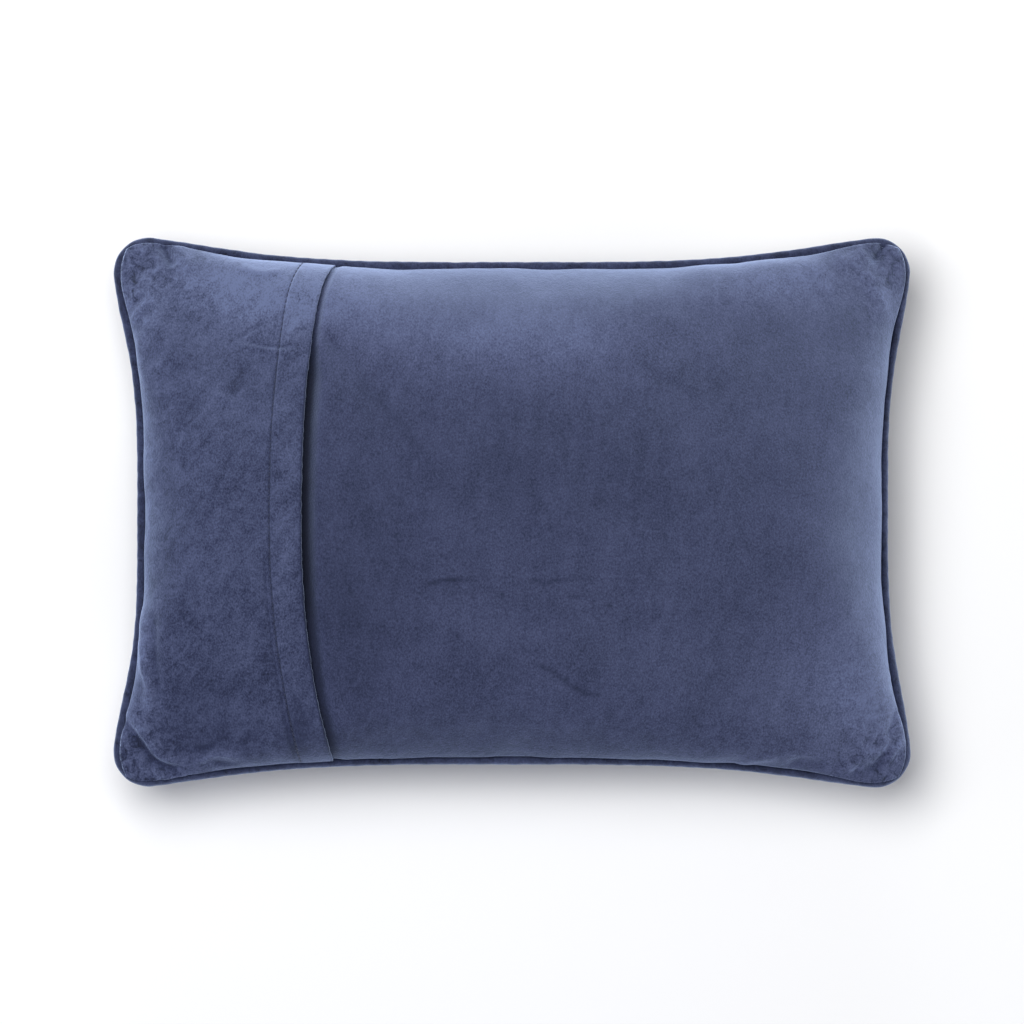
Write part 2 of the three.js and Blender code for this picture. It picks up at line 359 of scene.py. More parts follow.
def add_node(tree, kind, settings=None, links=None):
    """Adds a node, sets its properties and sockets by name, and links sockets from others."""
    node = tree.nodes.new(kind)
    for name, value in (settings or {}).items():
        if isinstance(name, str) and hasattr(node, name):
            setattr(node, name, value)
        else:
            node.inputs[name].default_value = value
    for name, source in (links or {}).items():
        tree.links.new(source, node.inputs[name])
    return node


# Folds of the back: what each is, the plan points that it runs through, its half width, its
# height, negative for a trough, and its painted light: a painted highlight on ridges, negative for painted shade in
# troughs and along crease lines.
FOLDS = [
    ("step inside the lower left corner", [(-246, -127), (-238, -138), (-231, -147), (-225, -155), (-215, -160), (-205, -162)],
     3.0, -3.2, -0.5),
    ("roll above that step", [(-240, -121), (-232, -134), (-226, -143), (-219, -151), (-207, -156)], 4.4, 2.4, 0.26),
    ("ridge beside the seam, lower left", [(-225, -161), (-219, -165), (-211, -167), (-203, -165)], 2.0, 1.8, 0.55),
    ("ridge down the left side", [(-230, -58), (-229, -78), (-229, -97), (-226, -110), (-229, -132)], 2.7, 2.4, 0.5),
    ("trough inside that ridge", [(-222, -60), (-223, -84), (-222, -104), (-221, -120)], 2.6, -1.6, -0.3),
    ("ridge along the upper left seam", [(-232, 114), (-232, 98), (-228, 80)], 3.4, 1.2, 0.15),
    ("ripples, lower left", [(-198, -157), (-192, -154), (-186, -151), (-179, -151), (-168, -153)], 2.0, 1.8, 0.4),
    ("ripple over them", [(-200, -147), (-191, -147), (-184, -144)], 2.4, -1.6, -0.35),
    ("ripple below them", [(-187, -156), (-180, -157), (-172, -157)], 2.0, -1.0, -0.25),
    ("short ripple, lower left", [(-214, -150), (-206, -147), (-198, -149)], 2.4, -1.1, -0.2),
    ("tuck, upper left", [(-219, 170), (-216, 162), (-211, 154)], 2.8, -3.0, -0.45),
    ("roll beside it", [(-209, 168), (-206, 160), (-200, 150)], 4.5, 1.5, 0.2),
    ("roll in the upper left corner", [(-241, 156), (-235, 164), (-226, 167)], 4.0, 1.0, 0.3),
    ("soft ridge, upper left", [(-232, 150), (-222, 128), (-220, 100)], 6.0, 1.7, 0.15),
    ("crease, upper left side", [(-238, 119), (-233, 126), (-228, 132)], 1.8, 1.0, 0.25),
    ("crease above that one", [(-241, 130), (-235, 136), (-231, 138)], 1.6, 0.7, 0.2),
    ("ripples below the top seam", [(-170, 153), (-156, 149), (-140, 151)], 2.8, 1.1, 0.1),
    ("crease over the hem", [(-169, 104), (-158, 102), (-147, 100), (-131, 100)], 1.4, 0.6, 0.14),
    ("trough above it", [(-171, 108), (-163, 106), (-156, 104), (-147, 103), (-131, 103)], 1.2, -0.8, -0.2),
    ("short crease beside the hem", [(-171, 107), (-161, 114), (-154, 119)], 1.5, -1.1, -0.28),
    ("short crease, mid left", [(-183, 75), (-178, 71), (-172, 68)], 1.8, 0.8, 0.2),
    ("drape, mid left", [(-214, 96), (-204, 72), (-200, 44)], 7.0, -1.2, -0.12),
    ("hollow right of the hem", [(-120, 114), (-114, 108), (-106, 98)], 3.0, -0.9, -0.18),
    ("broad trough beside the flap", [(-116, 110), (-100, 96), (-72, 60)], 13.0, -1.2, 0.0),
    ("tuck, upper right", [(234, 171), (231, 164), (225, 156)], 2.8, -3.0, -0.45),
    ("roll beside it", [(222, 164), (213, 158), (203, 157)], 4.5, 1.4, 0.3),
    ("roll in the upper right corner", [(237, 167), (243, 161), (246, 151)], 4.0, 1.0, 0.3),
    ("soft ridge, upper right", [(216, 156), (228, 140), (233, 118)], 6.0, 1.5, 0.22),
    ("ridge in the lower right corner", [(246, -142), (241, -146), (237, -151), (234, -157)], 2.2, 2.4, 0.55),
    ("fold inside that ridge", [(236, -150), (232, -154), (227, -159), (218, -162)], 3.0, -2.4, -0.5),
    ("wedge, lower right", [(219, -156), (216, -160), (214, -166)], 2.6, -1.4, -0.3),
    ("drape above the lower right", [(203, -160), (213, -158), (221, -152), (229, -148), (237, -139)], 3.0, 1.5, 0.25),
    ("drape below it", [(172, -157), (182, -155), (196, -158)], 3.0, -1.5, -0.25),
    ("ripple above the lower seam", [(140, -158), (152, -154), (166, -152)], 2.6, 1.2, 0.2),
    ("crease on the right side", [(241, -122), (238, -132), (235, -142)], 2.4, -1.5, -0.25),
    ("crease above it", [(238, -104), (242, -114), (243, -122)], 3.0, -1.2, -0.15),
    ("hollow of the long crease, centre", [(-54, -41), (-40, -44), (-20, -44)], 2.0, -0.45, -0.05),
    ("its line in the pile", [(-57, -46), (-46, -43), (-33, -41), (-19, -41)], 1.0, 0.0, -0.5),
    ("hollow of the crease beside it", [(10, -42), (22, -44), (32, -43)], 2.0, -0.4, -0.05),
    ("its line in the pile", [(9, -41), (20, -43), (33, -41), (47, -41)], 1.0, 0.0, -0.38),
    ("short line below it", [(32, -50), (37, -51), (43, -52)], 1.2, 0.0, -0.3),
    ("hollow of the crease, lower centre", [(16, -92), (34, -104), (56, -116)], 2.2, -0.45, -0.08),
    ("its line in the pile", [(11, -93), (26, -99), (41, -110), (57, -113)], 1.4, 0.0, -0.35),
    ("line in the pile beside the flap", [(-118, 111), (-101, 92), (-86, 75), (-68, 53), (-48, 31)], 4.0, 0.0, -0.15),
    ("fine crease, upper right", [(86, 84), (100, 80), (112, 72)], 2.4, -0.4, -0.15),
]
RUNS_PER_STOP = 6

# Soft marks of painted highlight on the pile's colour, and of painted shade below 0, standing in for
# light on the slopes and partly for brushed pile: place and reach in plan, strength.
PAINTED_LIGHT_MARKS = [
    (-172, 142, 46, 20, 1.0),
    (-116, 134, 60, 24, 0.9),
    (5, 108, 90, 24, 0.75),
    (166, 146, 46, 16, 0.9),
    (208, -111, 42, 42, 0.7),
    (214, 117, 15, 28, -0.28),
    (-7, 18, 150, 62, -0.15),
    (-101, -64, 34, 62, -0.25),
    (-142, -20, 10, 90, 0.25),
    (-150, 110, 30, 14, 0.12),
    (-20, -150, 125, 22, -0.25),
    (-133, -138, 11, 20, -0.3),
    (-190, -138, 46, 16, -0.25),
    (-191, -112, 22, 12, -0.2),
    (-205, 35, 45, 42, 0.12),
]
# A painted highlight in a band along the left and right seams, where the slopes catch the light: its strength, and how
# far in from them it reaches.
PAINTED_SIDE_HIGHLIGHTS = {"left": (0.6, 20.0), "right": (0.4, 34.0)}

# The cord's cover, and the wool and thread stitches, in millimetres.
TONE_RANGE = 2.4
CORD_STEPS = 1100
CORD_SIDES = 20
BIAS_PITCH = 11.0
CANVAS_DEPTH = 0.9
TENT_PITCH = 2.82
HEM_STITCH_PITCH = 3.6
HEM_STITCH_LENGTH = 2.7
HEM_STITCH_RADIUS = 0.34

# The floor and the camera, in metres: the view is this wide at the height of the seam.
FLOOR_HALF = 8.0
VIEW_WIDTH = 0.6416
LENS = 240.0
SENSOR = 36.0

# The softboxes: name, watts, side, place and colour. The one overhead gives the shadow on the
# floor, and the low ones graze the slopes.
LIGHTS = [
    ("overhead", 42.5, 1.4, (-0.45, 0.45, 2.0), "#ffffff"),
    ("low_top", 18.5, 0.96, (0.0, 2.2, 0.39), "#ffffff"),
    ("low_right", 17.3, 0.96, (2.2, 0.0, 0.39), "#ffffff"),
    ("low_bottom_right", 11.4, 0.96, (1.58, -1.58, 0.39), "#ffffff"),
    ("low_left", 10.1, 1.24, (-2.2, 0.0, 0.81), "#e6ebff"),
    ("low_bottom", 9.5, 1.24, (0.0, -2.2, 0.81), "#dbe3ff"),
]
AMBIENT = 0.15


def smooth_path(stops):
    """Points of the Catmull-Rom curve through the stops."""
    stops = np.array(stops, float)
    padded = np.pad(stops, ((1, 1), (0, 0)), mode="reflect", reflect_type="odd")
    share = np.arange(RUNS_PER_STOP)[:, None] / RUNS_PER_STOP
    runs = [cubic(*padded[first:first + 4], share) for first in range(len(stops) - 1)]
    return np.vstack([*runs, stops[-1:]])


def nearest_on(path, x, y):
    """Distance in plan from points to a path, and the share of the path at which it is nearest."""
    nearest, place = np.full_like(x, np.inf), np.zeros_like(x)
    for number, (start, end) in enumerate(zip(path, path[1:])):
        run = end - start
        share = np.clip(((x - start[0]) * run[0] + (y - start[1]) * run[1]) / (run @ run), 0, 1)
        distance = np.hypot(x - start[0] - share * run[0], y - start[1] - share * run[1])
        place = np.where(distance < nearest, number + share, place)
        nearest = np.minimum(nearest, distance)
    return nearest, place / (len(path) - 1)


def folds_at(x, y):
    """Height and painted light and shade of the folds: each the sum of the fold's own times
    exp(-(distance / width) ** 2), tapered by 1 - (2 * share - 1) ** 4 towards the path's ends."""
    relief, fold_painted_light = np.zeros_like(x), np.zeros_like(x)
    for _, stops, width, height, tone in FOLDS:
        distance, share = nearest_on(smooth_path(stops), x, y)
        amount = (1 - (2 * share - 1) ** 4) * np.exp(-(distance / width) ** 2)
        relief += height * amount
        fold_painted_light += tone * amount
    return relief, fold_painted_light


def value_noise(x, y, size, seed):
    """Smooth noise from -1 to 1: random values on a square lattice of that size, which repeats after
    160 cells, blended by the smoothstep of the place in the cell."""
    values = np.random.default_rng(seed).uniform(-1, 1, (160, 160))
    column, row = x / size + 80, y / size + 80
    left, low = np.floor(column).astype(int), np.floor(row).astype(int)
    across, up = smoothstep(0, 1, column - left), smoothstep(0, 1, row - low)
    left, right, low, high = left % 160, (left + 1) % 160, low % 160, (low + 1) % 160
    lower = values[low, left] * (1 - across) + values[low, right] * across
    upper = values[high, left] * (1 - across) + values[high, right] * across
    return lower * (1 - up) + upper * up


def from_seam(u, v):
    """Distance in from the nearest seam, measured along the cloth."""
    return np.minimum((1 - np.abs(u)) * FLAT_HALF_LENGTH, (1 - np.abs(v)) * FLAT_HALF_WIDTH)


def outward(panel, u, v):
    """Unit normals of a panel, by differences a small step to each side; they point up."""
    step = 0.004
    along = sample(panel, np.clip(u + step, -1, 1), v) - sample(panel, np.clip(u - step, -1, 1), v)
    across = sample(panel, u, np.clip(v + step, -1, 1)) - sample(panel, u, np.clip(v - step, -1, 1))
    normal = np.cross(along, across)
    return normal / np.linalg.norm(normal, axis=-1, keepdims=True)


def end_share(u, v):
    """0 where a left or right seam is nearer, and 1 where a top or bottom one is, blended between."""
    return smoothstep(-6, 6, (1 - np.abs(u)) * FLAT_HALF_LENGTH - (1 - np.abs(v)) * FLAT_HALF_WIDTH)


def off_seam(u, v):
    """Unit directions in plan that lead off the nearer seam: each seam's tangent turned by a
    quarter, the two blended where both seams are about as near."""
    step = 0.004
    side, end = np.where(u < 0, -1.0, 1.0), np.where(v < 0, -1.0, 1.0)
    ahead_u = np.stack(plan_at(np.clip(u + step, -1, 1), end, RIM_INSET), axis=-1)
    ahead_u -= np.stack(plan_at(np.clip(u - step, -1, 1), end, RIM_INSET), axis=-1)
    ahead_v = np.stack(plan_at(side, np.clip(v + step, -1, 1), RIM_INSET), axis=-1)
    ahead_v -= np.stack(plan_at(side, np.clip(v - step, -1, 1), RIM_INSET), axis=-1)
    off_end = np.stack([-ahead_u[..., 1] * end, ahead_u[..., 0] * end], axis=-1)
    off_side = np.stack([ahead_v[..., 1] * side, -ahead_v[..., 0] * side], axis=-1)
    off_end /= np.linalg.norm(off_end, axis=-1, keepdims=True)
    off_side /= np.linalg.norm(off_side, axis=-1, keepdims=True)
    off = off_side + (off_end - off_side) * end_share(u, v)[..., None]
    return off / np.linalg.norm(off, axis=-1, keepdims=True)


def pressed_out(panel, u, v):
    """Points of a panel, moved off the seam in plan, where the filling presses it over the cord:
    the overhang times a rise and a fade with the distance from the seam."""
    points = sample(panel, u, v)
    uneven = value_noise(points[..., 0], points[..., 1], 24, 14)
    beside = np.where(u < 0, OVERHANG["left"], OVERHANG["right"])
    amount = beside + (OVERHANG["ends"] - beside) * end_share(u, v)
    amount += OVERHANG["corner"] * corner_share(u, v) + OVERHANG["uneven"] * uneven
    distance = from_seam(u, v)
    amount *= smoothstep(0, OVERHANG["risen"], distance) * (1 - smoothstep(*OVERHANG["fades"], distance))
    points[..., :2] += off_seam(u, v) * amount[..., None]
    return points


def back_relief(points, u, v):
    """Height of the back's folds and unevenness over the filled panel, fading out at the seam."""
    x, y = points[..., 0], points[..., 1]
    uneven = 0.8 * value_noise(x, y, 38, 11) + 0.35 * value_noise(x, y, 17, 12) + 0.12 * value_noise(x, y, 7, 13)
    return (folds_at(x, y)[0] + uneven) * smoothstep(0, 6, from_seam(u, v))


def free_edge(rows):
    """u of the flap's free edge at each row, worked back from its place in plan, which is the
    middle plus a bow and a hook, each a power of |y| over the half width."""
    u = np.full_like(rows, FLAP_EDGE["middle"] / FLAT_HALF_LENGTH)
    step = 0.01
    for _ in range(8):
        points = sample(back_panel, u, rows)
        slope = (sample(back_panel, u + step, rows) - sample(back_panel, u - step, rows))[:, 0] / (2 * step)
        reach = np.abs(points[:, 1]) / FLAP_EDGE["half_width"]
        top, bottom = FLAP_EDGE["top"], FLAP_EDGE["bottom"]
        bow = np.where(points[:, 1] > 0, top["bow"] * reach ** top["power"],
                       bottom["bow"] * reach ** bottom["power"])
        hook = np.where(points[:, 1] > 0, top["hook"], bottom["hook"]) * reach ** FLAP_EDGE["hook_power"]
        u = u + (FLAP_EDGE["middle"] + bow + hook - points[:, 0]) / slope
    return u


def columns_beside(edge, distances, count, end):
    """u for a row of columns a row: at the given distances from the edge, then evenly on to the
    end, which is -1 or 1. The result runs from the edge."""
    direction = np.sign(end)
    near = edge[:, None] + direction * np.array(distances) / FLAT_HALF_LENGTH
    far = near[:, -1:] + (end - near[:, -1:]) * closing_up(np.linspace(0, 1, count + 1))[1:]
    return np.hstack([near, far])


def closed_sheet(name, upper, lower):
    """A closed piece between two grids of the same size, with a wall of faces along the rim."""
    count = upper.shape[0] * upper.shape[1]
    index = np.arange(count).reshape(upper.shape[:2])
    faces = np.concatenate([quads(index), quads(index + count)[:, ::-1], wall(rim_of(index + count), rim_of(index))])
    return new_piece(name, np.concatenate([upper.reshape(-1, 3), lower.reshape(-1, 3)]), faces)


def mark_seams(piece, *grids):
    """Keeps on each vertex how near it is to a seam, for the crushed pile there: 1 at the seam and
    0 from 60 mm in, summed over both pairs of sides."""
    nearness = []
    for u, v in grids:
        along = 1 - smoothstep(0, 60, (1 - np.abs(u)) * FLAT_HALF_LENGTH)
        across = 1 - smoothstep(0, 60, (1 - np.abs(v)) * FLAT_HALF_WIDTH)
        nearness.append((0.5 * along + 0.5 * across + along * across).ravel())
    keep_values(piece, "near_seam", nearness)


def keep_values(piece, name, values):
    attribute = piece.data.attributes.new(name, "FLOAT", "POINT")
    attribute.data.foreach_set("value", np.concatenate(values).astype(np.float32))


def painted_light_share(points, u, v):
    """Painted light and shade on the pile's colour: the folds' painted highlights and shade, a painted
    highlight in a band along the left and right seams, strength * exp(-(distance / reach) ** 2), and the sum of
    strength * exp(-(dx / reach_x) ** 2 - (dy / reach_y) ** 2) over the marks of painted highlight and shade."""
    x, y = points[..., 0], points[..., 1]
    share = folds_at(x, y)[1]
    for side, (strength, reach) in PAINTED_SIDE_HIGHLIGHTS.items():
        away = (1 + u if side == "left" else 1 - u) * FLAT_HALF_LENGTH
        share += strength * np.exp(-(away / reach) ** 2) * (1 - smoothstep(0.75, 0.95, np.abs(v)))
    for place_x, place_y, reach_x, reach_y, strength in PAINTED_LIGHT_MARKS:
        share += strength * np.exp(-((x - place_x) / reach_x) ** 2 - ((y - place_y) / reach_y) ** 2)
    return share


def squeezed(at_seam, inside, u, v, reach):
    """A depth below the outer side, less within reach of the seam, where its stitching squeezes the
    layers."""
    return at_seam + (inside - at_seam) * smoothstep(0, reach, from_seam(u, v))


def is_rim(u, v):
    return ((np.abs(u) == 1) | (np.abs(v) == 1))[..., None]


def make_back():
    """The main velvet panel round the filling. Beside the flap it dips under the free edge, and
    below the flap it lies deeper by the flap's thickness."""
    rows = closing_up(np.linspace(-1, 1, 187))
    edge = free_edge(rows)
    covered = columns_beside(edge, [0.6, 2.0, 4.5, 8.0, 12.0], 25, -1)[:, ::-1]
    shown = columns_beside(edge, [0, 0.5, 1.0, 1.6, 2.3, 3.1, 4.0, 5.0, 6.2, 7.6, 9.2], 208, 1)
    u = np.hstack([covered, shown])
    v = np.repeat(rows[:, None], u.shape[1], axis=1)
    right_of_edge = (u - edge[:, None]) * FLAT_HALF_LENGTH
    slack = 1 - 0.5 * smoothstep(0.45, 0.65, v) - 0.15 * smoothstep(-0.45, -0.7, v)
    from_lip = right_of_edge / slack
    lower_half = smoothstep(-0.1, -0.55, v)
    deepest = squeezed(1.2, UNDERCUT_DEPTH * slack * (1 - 0.45 * lower_half), u, v, 40)
    covered_ramp = smoothstep(-14, 0, right_of_edge)
    covered_dip = squeezed(1.2, COVERED_DEPTH, u, v, 14) * (1 - covered_ramp) + deepest * covered_ramp
    dip = np.where(right_of_edge > 0, deepest * (1 - smoothstep(*UNDERCUT_REACH, from_lip)), covered_dip)
    points = pressed_out(back_panel, u, v)
    relief = back_relief(points, u, v) - dip
    upper = points + outward(back_panel, u, v) * relief[..., None]
    lower = pressed_out(front_panel, u, v)
    lower[..., 2] = np.maximum(lower[..., 2], 0)
    lower += outward(front_panel, u, v) * (CANVAS_THICKNESS + CLOTH_GAP)
    tuck = np.stack([*plan_at(u, v, TUCK_INSET + 2.5), seam_height(u, v)], axis=-1)
    piece = closed_sheet("velvet_back", upper, np.where(is_rim(u, v), tuck, lower))
    mark_seams(piece, (u, v), (u, v))
    # Painted shadow: the pile's colour darkened at the flap's free edge and in the undercut beside it, less in the
    # lower half.
    painted_undercut_shadow = (1 - smoothstep(1.5, 9.0, from_lip)) * smoothstep(-9, -2, right_of_edge)
    shares = painted_light_share(points, u, v) - (0.85 - 0.3 * lower_half) * painted_undercut_shadow
    keep_values(piece, "painted_light_and_brushing", [shares.clip(-0.9, None).ravel(), np.zeros(u.size)])
    return piece


def flap_top(u, v, from_edge):
    """Outer side of the flap: the back's own relief, plus the hem's rise up to the stitches, the
    groove that they pull, a soft crease inside it in the lower half, and the rounded free edge,
    which the pile makes a little uneven."""
    points = pressed_out(back_panel, u, v)
    lap = smoothstep(0, 26, from_seam(u, v))
    wave = 1 + 0.25 * value_noise(points[..., 1], from_edge, 26, 21)
    hem = HEM_RISE * wave * (1 - 0.75 * smoothstep(HEM_WIDTH - 1, HEM_WIDTH + 3, from_edge))
    hem = hem * (1 - smoothstep(HEM_WIDTH + 3, HEM_WIDTH + 14, from_edge))
    groove = STITCH_GROOVE * np.exp(-((from_edge - HEM_WIDTH) / 1.2) ** 2)
    crease = 0.6 * np.exp(-((from_edge - HEM_WIDTH - 3.2) / 1.3) ** 2) * smoothstep(-0.05, -0.3, v)
    lift = 0.35 * np.exp(-from_edge / 5) * (0.6 + 0.6 * value_noise(points[..., 1], from_edge, 45, 22))
    fuzz = EDGE_FUZZ * value_noise(points[..., 1], 3 * from_edge, 2.4, 23) * np.exp(-from_edge / 0.8)
    rounding = EDGE_RADIUS * (1 - np.sqrt(1 - np.clip(1 - from_edge / EDGE_RADIUS, 0, 1) ** 2))
    relief = back_relief(points, u, v) + lap * (hem - groove - crease + lift) - rounding
    points[..., 0] += fuzz * lap
    return points + outward(back_panel, u, v) * relief[..., None]


def make_flap():
    """The flap of the envelope back, with its hem turned under: the top as above, the underside
    along the same normals, deeper by the cloth's thickness."""
    rows = closing_up(np.linspace(-1, 1, 361))
    edge = free_edge(rows)
    distances = [0, 0.07, 0.2, 0.4, 0.65, 1.0, 1.5, 2.2, 3.4, 5, 7, 9, 11, 13, 15, 16.8, 18, 18.8, 19.4, 19.8, 20.2, 20.6,
                 21.0, 21.5, 22.1, 22.8, 23.5, 24.2, 25, 26, 27.5, 29.5]
    u = columns_beside(edge, distances, 50, -1)[:, ::-1]
    v = np.repeat(rows[:, None], u.shape[1], axis=1)
    from_edge = (edge[:, None] - u) * FLAT_HALF_LENGTH
    upper = flap_top(u, v, from_edge)
    under = u - UNDERSIDE_SETBACK * np.exp(-from_edge / 2) * (u > -1) / FLAT_HALF_LENGTH
    points = pressed_out(back_panel, under, v)
    depth = FLAP_UNDERSIDE + (HEM_UNDERSIDE - FLAP_UNDERSIDE) * (from_edge < HEM_WIDTH)
    relief = back_relief(points, under, v) + squeezed(-0.8, depth, under, v, 14)
    lower = points + outward(back_panel, under, v) * relief[..., None]
    piece = closed_sheet("velvet_flap", upper, lower)
    mark_seams(piece, (u, v), (u, v))
    # Painted shade on the pile's colour: in the stitch groove, along the folded free edge and in the crease inside the
    # hem.
    painted_groove_shade = -0.5 * np.exp(-((from_edge - HEM_WIDTH) / 0.8) ** 2)
    painted_edge_shade = -0.75 * np.exp(-(from_edge / 1.1) ** 2)
    painted_crease_shade = -0.22 * np.exp(-((from_edge - HEM_WIDTH - 3.2) / 1.4) ** 2) * smoothstep(-0.05, -0.3, v)
    shares = painted_light_share(pressed_out(back_panel, u, v), u, v) + painted_groove_shade + painted_edge_shade + painted_crease_shade
    keep_values(piece, "painted_light_and_brushing", [shares.clip(-0.9, None).ravel(), np.zeros(u.size)])
    return piece


def make_hem_stitches():
    """Lockstitches along the hem: each a capsule, its radius the root of 1 - t ** 4 along its
    length, bedded in the groove by half its thickness."""
    reach = 0.955
    count = int(2 * reach * FLAT_HALF_WIDTH / HEM_STITCH_PITCH)
    middle = np.linspace(-reach, reach, count)
    place = np.array([-1, -0.92, -0.6, 0, 0.6, 0.92, 1])
    half = HEM_STITCH_LENGTH / 2 / FLAT_HALF_WIDTH
    v = (middle[:, None] + half * place)
    edge = free_edge(v.ravel()).reshape(v.shape)
    u = edge - HEM_WIDTH / FLAT_HALF_LENGTH
    line = flap_top(u, v, np.full_like(u, HEM_WIDTH)) + outward(back_panel, u, v) * 0.12
    ahead = np.gradient(line, axis=1)
    ahead /= np.linalg.norm(ahead, axis=-1, keepdims=True)
    up = outward(back_panel, u, v)
    side = np.cross(ahead, up)
    side /= np.linalg.norm(side, axis=-1, keepdims=True)
    sides = 6
    turn = np.arange(sides) / sides * 2 * np.pi
    radius = HEM_STITCH_RADIUS * np.sqrt(1 - 0.96 * place ** 4)
    ring = side[:, :, None] * np.cos(turn)[:, None] + np.cross(side, ahead)[:, :, None] * np.sin(turn)[:, None]
    points = line[:, :, None] + ring * radius[:, None, None]
    rings = place.size
    local = np.arange(rings * sides).reshape(rings, sides)
    ahead_ring, turned = local[1:], np.roll(local, -1, axis=1)
    body = np.stack([local[:-1], turned[:-1], turned[1:], ahead_ring], axis=-1).reshape(-1, 4)
    start = np.array([[local[0, 0], local[0, 3], local[0, 2], local[0, 1]],
                      [local[0, 0], local[0, 5], local[0, 4], local[0, 3]]])
    end = np.array([[local[-1, 0], local[-1, 1], local[-1, 2], local[-1, 3]],
                    [local[-1, 0], local[-1, 3], local[-1, 4], local[-1, 5]]])
    one = np.concatenate([body, start, end])
    faces = (one[None] + (np.arange(count) * rings * sides)[:, None, None]).reshape(-1, 4)
    return new_piece("hem_stitches", points, faces)


def make_front():
    """The needlepoint canvas, a little inside the wool that covers it. It is pressed flat on the
    floor, and its rim lies on the cord's inner shoulder from below."""
    u, v = np.meshgrid(closing_up(np.linspace(-1, 1, 171)), closing_up(np.linspace(-1, 1, 121)))
    face = pressed_out(front_panel, u, v)
    face[..., 2] = np.maximum(face[..., 2], 0)
    inward = outward(front_panel, u, v)
    inset = CANVAS_DEPTH * smoothstep(0, 4, from_seam(u, v))
    lower = face + inward * inset[..., None]
    upper = face + inward * CANVAS_THICKNESS
    tuck = np.stack([*plan_at(u, v, RIM_INSET + 2.3), face[..., 2] + 0.4], axis=-1)
    return closed_sheet("needlepoint_canvas", np.where(is_rim(u, v), tuck, upper), lower)


def make_tent_stitches():
    """One tent stitch over each crossing of the canvas: a diagonal ridge with pointed ends, whose
    corners are shifts in u and v from the crossing."""
    half_count_u = int((FLAT_HALF_LENGTH - 3) / TENT_PITCH)
    half_count_v = int((FLAT_HALF_WIDTH - 3) / TENT_PITCH)
    u, v = np.meshgrid(np.arange(-half_count_u, half_count_u + 1) * TENT_PITCH / FLAT_HALF_LENGTH,
                       np.arange(-half_count_v, half_count_v + 1) * TENT_PITCH / FLAT_HALF_WIDTH)
    inward = outward(front_panel, u, v)
    shifts = np.array([(-0.56, -0.56), (0.56, 0.56), (-0.26, 0.26), (0.26, -0.26), (-0.24, -0.24), (0.24, 0.24)])
    depths = np.array([1.0, 1.0, 1.0, 1.0, 0.0, 0.0]) * (CANVAS_DEPTH + 0.05)
    corners = []
    for (along, across), depth in zip(shifts, depths):
        corner = pressed_out(front_panel, u + along * TENT_PITCH / FLAT_HALF_LENGTH,
                             v + across * TENT_PITCH / FLAT_HALF_WIDTH)
        corner[..., 2] = np.maximum(corner[..., 2], 0)
        corners.append(corner + inward * depth)
    points = np.stack(corners, axis=-2).reshape(-1, 6, 3)
    start, end, left, right, near, far = range(6)
    one = np.array([(start, near, right), (start, left, near), (near, far, right), (near, left, far),
                    (far, end, right), (far, left, end), (start, right, left), (end, left, right)])
    faces = (one[None] + (np.arange(len(points)) * 6)[:, None, None]).reshape(-1, 3)
    return new_piece("needlepoint_wool", points, faces)


def make_piping():
    """The covered cord: a ring of its radius carried along its centre line at even steps, with
    the slight bias folds of the cover, a sine of the turn plus the travel over their pitch."""
    corner = np.linspace(-1, 1, 500, endpoint=False)
    one = np.ones_like(corner)
    u, v = np.concatenate([corner, one, -corner, -one]), np.concatenate([-one, corner, one, -corner])
    line = np.stack([*plan_at(u, v, PIPING_RADIUS), seam_height(u, v)], axis=-1)
    looped = np.vstack([line, line[:1]])
    travel = np.concatenate([[0], np.cumsum(np.linalg.norm(np.diff(looped, axis=0), axis=1))])
    even = np.arange(CORD_STEPS) / CORD_STEPS * travel[-1]
    line = np.stack([np.interp(even, travel, looped[:, axis]) for axis in range(3)], axis=-1)
    ahead = np.roll(line, -2, axis=0) - np.roll(line, 2, axis=0)
    ahead /= np.linalg.norm(ahead, axis=1, keepdims=True)
    out = np.cross(ahead, [0.0, 0.0, 1.0])
    out /= np.linalg.norm(out, axis=1, keepdims=True)
    up = np.cross(out, ahead)
    turn = np.arange(CORD_SIDES) / CORD_SIDES * 2 * np.pi
    folds = round(travel[-1] / BIAS_PITCH)
    bias = np.sin(turn[None, :] + (even * folds * 2 * np.pi / travel[-1])[:, None])
    uneven = 0.14 * value_noise(line[:, :1], line[:, 1:2], 9, 31) + 0.12 * value_noise(line[:, :1], line[:, 1:2], 31, 32)
    radius = PIPING_RADIUS - 0.08 + 0.07 * bias + uneven
    ring = radius[..., None] * (np.cos(turn)[None, :, None] * out[:, None] + np.sin(turn)[None, :, None] * up[:, None])
    index = np.arange(CORD_STEPS * CORD_SIDES).reshape(CORD_STEPS, CORD_SIDES)
    ahead_index, turned = np.roll(index, -1, axis=0), np.roll(index, -1, axis=1)
    faces = np.stack([index, ahead_index, np.roll(ahead_index, -1, axis=1), turned], axis=-1).reshape(-1, 4)
    return new_piece("piping_cord", line[:, None] + ring, faces)


def new_material(name):
    material = bpy.data.materials.new(name)
    material.use_nodes = True
    material.node_tree.nodes.clear()
    return material, material.node_tree


def colour_stops(node, stops):
    """Sets a colour ramp to the stops, each a place and an sRGB hex colour."""
    ramp = node.color_ramp
    while len(ramp.elements) < len(stops):
        ramp.elements.new(0.5)
    for element, (place, code) in zip(ramp.elements, stops):
        element.position = place
        element.color = to_linear(code)


